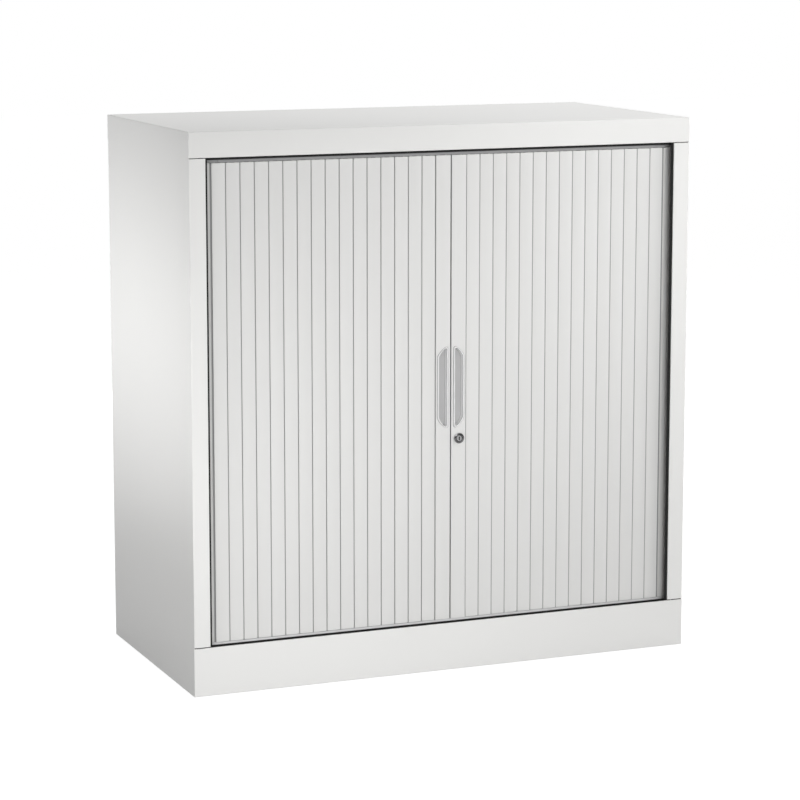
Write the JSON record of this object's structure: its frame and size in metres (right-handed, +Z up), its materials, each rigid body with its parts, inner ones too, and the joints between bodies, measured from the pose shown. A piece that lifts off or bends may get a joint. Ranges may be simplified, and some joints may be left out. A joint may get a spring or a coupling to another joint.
{
  "type": "tambour door cabinet",
  "caption": "Low free-standing steel cabinet with side-opening tambour leaves, recessed finger pulls, a hook lock and height-adjustable shelves.",
  "frame": {"origin": "on the floor, under the middle of the cabinet", "axes": "+X to the right of someone facing the doors, +Y to the back, +Z up"},
  "size_m": [1, 0.5, 1.03],
  "materials": {
    "case_paint": "satin white powder coat",
    "inner_paint": "satin white powder coat",
    "slat_plastic": "satin white extrusion",
    "track_plastic": "grey extrusion",
    "handle_plastic": "light grey moulding",
    "lock_chrome": "polished",
    "hook_zinc": "zinc plated",
    "foot_plastic": "black moulding"
  },
  "bodies": {
    "carcass": {"top_panel": "case_paint", "back_panel": "case_paint", "base_deck": "case_paint", "plinth_front": "case_paint", "left_side_panel": "case_paint", "right_side_panel": "case_paint", "left_liner": "inner_paint", "right_liner": "inner_paint", "shelf_1": "inner_paint", "shelf_2": "inner_paint", "bottom_front_track": "track_plastic", "bottom_left_track": "track_plastic", "bottom_right_track": "track_plastic", "top_front_track": "track_plastic", "top_left_track": "track_plastic", "top_right_track": "track_plastic", "left_corner_slat": "slat_plastic", "right_corner_slat": "slat_plastic"},
    "left_leading": {"left_leading_slat": "slat_plastic", "left_handle": "handle_plastic"},
    "right_leading": {"right_leading_slat": "slat_plastic", "right_handle": "handle_plastic", "lock_case": "lock_chrome"},
    "lock_plug": {"lock_cylinder": "lock_chrome", "lock_hook": "hook_zinc"},
    "left_slat_01": {"left_slat_01": "slat_plastic"},
    "left_slat_02": {"left_slat_02": "slat_plastic"},
    "left_slat_03": {"left_slat_03": "slat_plastic"},
    "left_slat_04": {"left_slat_04": "slat_plastic"},
    "left_slat_05": {"left_slat_05": "slat_plastic"},
    "left_slat_06": {"left_slat_06": "slat_plastic"},
    "left_slat_07": {"left_slat_07": "slat_plastic"},
    "left_slat_08": {"left_slat_08": "slat_plastic"},
    "left_slat_09": {"left_slat_09": "slat_plastic"},
    "left_slat_10": {"left_slat_10": "slat_plastic"},
    "left_slat_11": {"left_slat_11": "slat_plastic"},
    "left_slat_12": {"left_slat_12": "slat_plastic"},
    "left_slat_13": {"left_slat_13": "slat_plastic"},
    "left_slat_14": {"left_slat_14": "slat_plastic"},
    "left_slat_15": {"left_slat_15": "slat_plastic"},
    "left_slat_16": {"left_slat_16": "slat_plastic"},
    "right_slat_01": {"right_slat_01": "slat_plastic"},
    "right_slat_02": {"right_slat_02": "slat_plastic"},
    "right_slat_03": {"right_slat_03": "slat_plastic"},
    "right_slat_04": {"right_slat_04": "slat_plastic"},
    "right_slat_05": {"right_slat_05": "slat_plastic"},
    "right_slat_06": {"right_slat_06": "slat_plastic"},
    "right_slat_07": {"right_slat_07": "slat_plastic"},
    "right_slat_08": {"right_slat_08": "slat_plastic"},
    "right_slat_09": {"right_slat_09": "slat_plastic"},
    "right_slat_10": {"right_slat_10": "slat_plastic"},
    "right_slat_11": {"right_slat_11": "slat_plastic"},
    "right_slat_12": {"right_slat_12": "slat_plastic"},
    "right_slat_13": {"right_slat_13": "slat_plastic"},
    "right_slat_14": {"right_slat_14": "slat_plastic"},
    "right_slat_15": {"right_slat_15": "slat_plastic"},
    "front_left_foot": {"front_left_foot": "foot_plastic"},
    "front_right_foot": {"front_right_foot": "foot_plastic"},
    "rear_left_foot": {"rear_left_foot": "foot_plastic"},
    "rear_right_foot": {"rear_right_foot": "foot_plastic"}
  },
  "joints": [
    {"name": "left_leaf_slide", "type": "slide", "parent": "carcass", "child": "left_leading", "axis": [-1, 0, 0], "range_m": [0, 0.4352], "deforming": ["left_slat_01", "left_slat_02", "left_slat_03", "left_slat_04", "left_slat_05", "left_slat_06", "left_slat_07", "left_slat_08", "left_slat_09", "left_slat_10", "left_slat_11", "left_slat_12", "left_slat_13", "left_slat_14", "left_slat_15", "left_slat_16"]},
    {"name": "left_slat_01_slide", "type": "slide", "parent": "carcass", "child": "left_slat_01", "axis": [-1, 0, 0], "range_m": [0, 0.04611]},
    {"name": "left_slat_02_slide", "type": "slide", "parent": "carcass", "child": "left_slat_02", "axis": [-1, 0, 0], "range_m": [0, 0.07231]},
    {"name": "left_slat_03_slide", "type": "slide", "parent": "carcass", "child": "left_slat_03", "axis": [-1, 0, 0], "range_m": [0, 0.09851]},
    {"name": "left_slat_04_slide", "type": "slide", "parent": "carcass", "child": "left_slat_04", "axis": [-1, 0, 0], "range_m": [0, 0.12471]},
    {"name": "left_slat_05_slide", "type": "slide", "parent": "carcass", "child": "left_slat_05", "axis": [-1, 0, 0], "range_m": [0, 0.15091]},
    {"name": "left_slat_06_slide", "type": "slide", "parent": "carcass", "child": "left_slat_06", "axis": [-1, 0, 0], "range_m": [0, 0.17711]},
    {"name": "left_slat_07_slide", "type": "slide", "parent": "carcass", "child": "left_slat_07", "axis": [-1, 0, 0], "range_m": [0, 0.20331]},
    {"name": "left_slat_08_slide", "type": "slide", "parent": "carcass", "child": "left_slat_08", "axis": [-1, 0, 0], "range_m": [0, 0.22951]},
    {"name": "left_slat_09_slide", "type": "slide", "parent": "carcass", "child": "left_slat_09", "axis": [-1, 0, 0], "range_m": [0, 0.25571]},
    {"name": "left_slat_10_slide", "type": "slide", "parent": "carcass", "child": "left_slat_10", "axis": [-1, 0, 0], "range_m": [0, 0.28191]},
    {"name": "left_slat_11_slide", "type": "slide", "parent": "carcass", "child": "left_slat_11", "axis": [-1, 0, 0], "range_m": [0, 0.30811]},
    {"name": "left_slat_12_slide", "type": "slide", "parent": "carcass", "child": "left_slat_12", "axis": [-1, 0, 0], "range_m": [0, 0.33431]},
    {"name": "left_slat_13_slide", "type": "slide", "parent": "carcass", "child": "left_slat_13", "axis": [-1, 0, 0], "range_m": [0, 0.36051]},
    {"name": "left_slat_14_slide", "type": "slide", "parent": "carcass", "child": "left_slat_14", "axis": [-1, 0, 0], "range_m": [0, 0.38671]},
    {"name": "left_slat_15_slide", "type": "slide", "parent": "carcass", "child": "left_slat_15", "axis": [-1, 0, 0], "range_m": [0, 0.41291]},
    {"name": "left_slat_16_slide", "type": "slide", "parent": "carcass", "child": "left_slat_16", "axis": [-1, 0, 0], "range_m": [0, 0.43911]},
    {"name": "right_leaf_slide", "type": "slide", "parent": "carcass", "child": "right_leading", "axis": [1, 0, 0], "range_m": [0, 0.408], "deforming": ["right_slat_01", "right_slat_02", "right_slat_03", "right_slat_04", "right_slat_05", "right_slat_06", "right_slat_07", "right_slat_08", "right_slat_09", "right_slat_10", "right_slat_11", "right_slat_12", "right_slat_13", "right_slat_14", "right_slat_15"]},
    {"name": "right_slat_01_slide", "type": "slide", "parent": "carcass", "child": "right_slat_01", "axis": [1, 0, 0], "range_m": [0, 0.04611]},
    {"name": "right_slat_02_slide", "type": "slide", "parent": "carcass", "child": "right_slat_02", "axis": [1, 0, 0], "range_m": [0, 0.07231]},
    {"name": "right_slat_03_slide", "type": "slide", "parent": "carcass", "child": "right_slat_03", "axis": [1, 0, 0], "range_m": [0, 0.09851]},
    {"name": "right_slat_04_slide", "type": "slide", "parent": "carcass", "child": "right_slat_04", "axis": [1, 0, 0], "range_m": [0, 0.12471]},
    {"name": "right_slat_05_slide", "type": "slide", "parent": "carcass", "child": "right_slat_05", "axis": [1, 0, 0], "range_m": [0, 0.15091]},
    {"name": "right_slat_06_slide", "type": "slide", "parent": "carcass", "child": "right_slat_06", "axis": [1, 0, 0], "range_m": [0, 0.17711]},
    {"name": "right_slat_07_slide", "type": "slide", "parent": "carcass", "child": "right_slat_07", "axis": [1, 0, 0], "range_m": [0, 0.20331]},
    {"name": "right_slat_08_slide", "type": "slide", "parent": "carcass", "child": "right_slat_08", "axis": [1, 0, 0], "range_m": [0, 0.22951]},
    {"name": "right_slat_09_slide", "type": "slide", "parent": "carcass", "child": "right_slat_09", "axis": [1, 0, 0], "range_m": [0, 0.25571]},
    {"name": "right_slat_10_slide", "type": "slide", "parent": "carcass", "child": "right_slat_10", "axis": [1, 0, 0], "range_m": [0, 0.28191]},
    {"name": "right_slat_11_slide", "type": "slide", "parent": "carcass", "child": "right_slat_11", "axis": [1, 0, 0], "range_m": [0, 0.30811]},
    {"name": "right_slat_12_slide", "type": "slide", "parent": "carcass", "child": "right_slat_12", "axis": [1, 0, 0], "range_m": [0, 0.33431]},
    {"name": "right_slat_13_slide", "type": "slide", "parent": "carcass", "child": "right_slat_13", "axis": [1, 0, 0], "range_m": [0, 0.36051]},
    {"name": "right_slat_14_slide", "type": "slide", "parent": "carcass", "child": "right_slat_14", "axis": [1, 0, 0], "range_m": [0, 0.38671]},
    {"name": "right_slat_15_slide", "type": "slide", "parent": "carcass", "child": "right_slat_15", "axis": [1, 0, 0], "range_m": [0, 0.41291]},
    {"name": "lock_turn", "type": "hinge", "parent": "right_leading", "child": "lock_plug", "pos_m": [0.0292, -0.234, 0.441], "axis": [0, 1, 0], "range_deg": [0, 90]},
    {"name": "front_left_foot_turn", "type": "hinge", "parent": "carcass", "child": "front_left_foot", "pos_m": [-0.442, -0.194, 0.03], "axis": [0, 0, 1], "continuous": true},
    {"name": "front_right_foot_turn", "type": "hinge", "parent": "carcass", "child": "front_right_foot", "pos_m": [0.442, -0.194, 0.03], "axis": [0, 0, 1], "continuous": true},
    {"name": "rear_left_foot_turn", "type": "hinge", "parent": "carcass", "child": "rear_left_foot", "pos_m": [-0.442, 0.194, 0.03], "axis": [0, 0, 1], "continuous": true},
    {"name": "rear_right_foot_turn", "type": "hinge", "parent": "carcass", "child": "rear_right_foot", "pos_m": [0.442, 0.194, 0.03], "axis": [0, 0, 1], "continuous": true}
  ],
  "couplings": [
    {"joint": "left_slat_01_slide", "follows": "left_leaf_slide", "ratio": 0.10593},
    {"joint": "left_slat_02_slide", "follows": "left_leaf_slide", "ratio": 0.16613},
    {"joint": "left_slat_03_slide", "follows": "left_leaf_slide", "ratio": 0.22633},
    {"joint": "left_slat_04_slide", "follows": "left_leaf_slide", "ratio": 0.28653},
    {"joint": "left_slat_05_slide", "follows": "left_leaf_slide", "ratio": 0.34674},
    {"joint": "left_slat_06_slide", "follows": "left_leaf_slide", "ratio": 0.40694},
    {"joint": "left_slat_07_slide", "follows": "left_leaf_slide", "ratio": 0.46714},
    {"joint": "left_slat_08_slide", "follows": "left_leaf_slide", "ratio": 0.52734},
    {"joint": "left_slat_09_slide", "follows": "left_leaf_slide", "ratio": 0.58755},
    {"joint": "left_slat_10_slide", "follows": "left_leaf_slide", "ratio": 0.64775},
    {"joint": "left_slat_11_slide", "follows": "left_leaf_slide", "ratio": 0.70795},
    {"joint": "left_slat_12_slide", "follows": "left_leaf_slide", "ratio": 0.76815},
    {"joint": "left_slat_13_slide", "follows": "left_leaf_slide", "ratio": 0.82835},
    {"joint": "left_slat_14_slide", "follows": "left_leaf_slide", "ratio": 0.88856},
    {"joint": "left_slat_15_slide", "follows": "left_leaf_slide", "ratio": 0.94876},
    {"joint": "left_slat_16_slide", "follows": "left_leaf_slide", "ratio": 1.009},
    {"joint": "right_slat_01_slide", "follows": "right_leaf_slide", "ratio": 0.11299},
    {"joint": "right_slat_02_slide", "follows": "right_leaf_slide", "ratio": 0.17721},
    {"joint": "right_slat_03_slide", "follows": "right_leaf_slide", "ratio": 0.24142},
    {"joint": "right_slat_04_slide", "follows": "right_leaf_slide", "ratio": 0.30564},
    {"joint": "right_slat_05_slide", "follows": "right_leaf_slide", "ratio": 0.36985},
    {"joint": "right_slat_06_slide", "follows": "right_leaf_slide", "ratio": 0.43407},
    {"joint": "right_slat_07_slide", "follows": "right_leaf_slide", "ratio": 0.49828},
    {"joint": "right_slat_08_slide", "follows": "right_leaf_slide", "ratio": 0.5625},
    {"joint": "right_slat_09_slide", "follows": "right_leaf_slide", "ratio": 0.62672},
    {"joint": "right_slat_10_slide", "follows": "right_leaf_slide", "ratio": 0.69093},
    {"joint": "right_slat_11_slide", "follows": "right_leaf_slide", "ratio": 0.75515},
    {"joint": "right_slat_12_slide", "follows": "right_leaf_slide", "ratio": 0.81936},
    {"joint": "right_slat_13_slide", "follows": "right_leaf_slide", "ratio": 0.88358},
    {"joint": "right_slat_14_slide", "follows": "right_leaf_slide", "ratio": 0.94779},
    {"joint": "right_slat_15_slide", "follows": "right_leaf_slide", "ratio": 1.012}
  ]
}
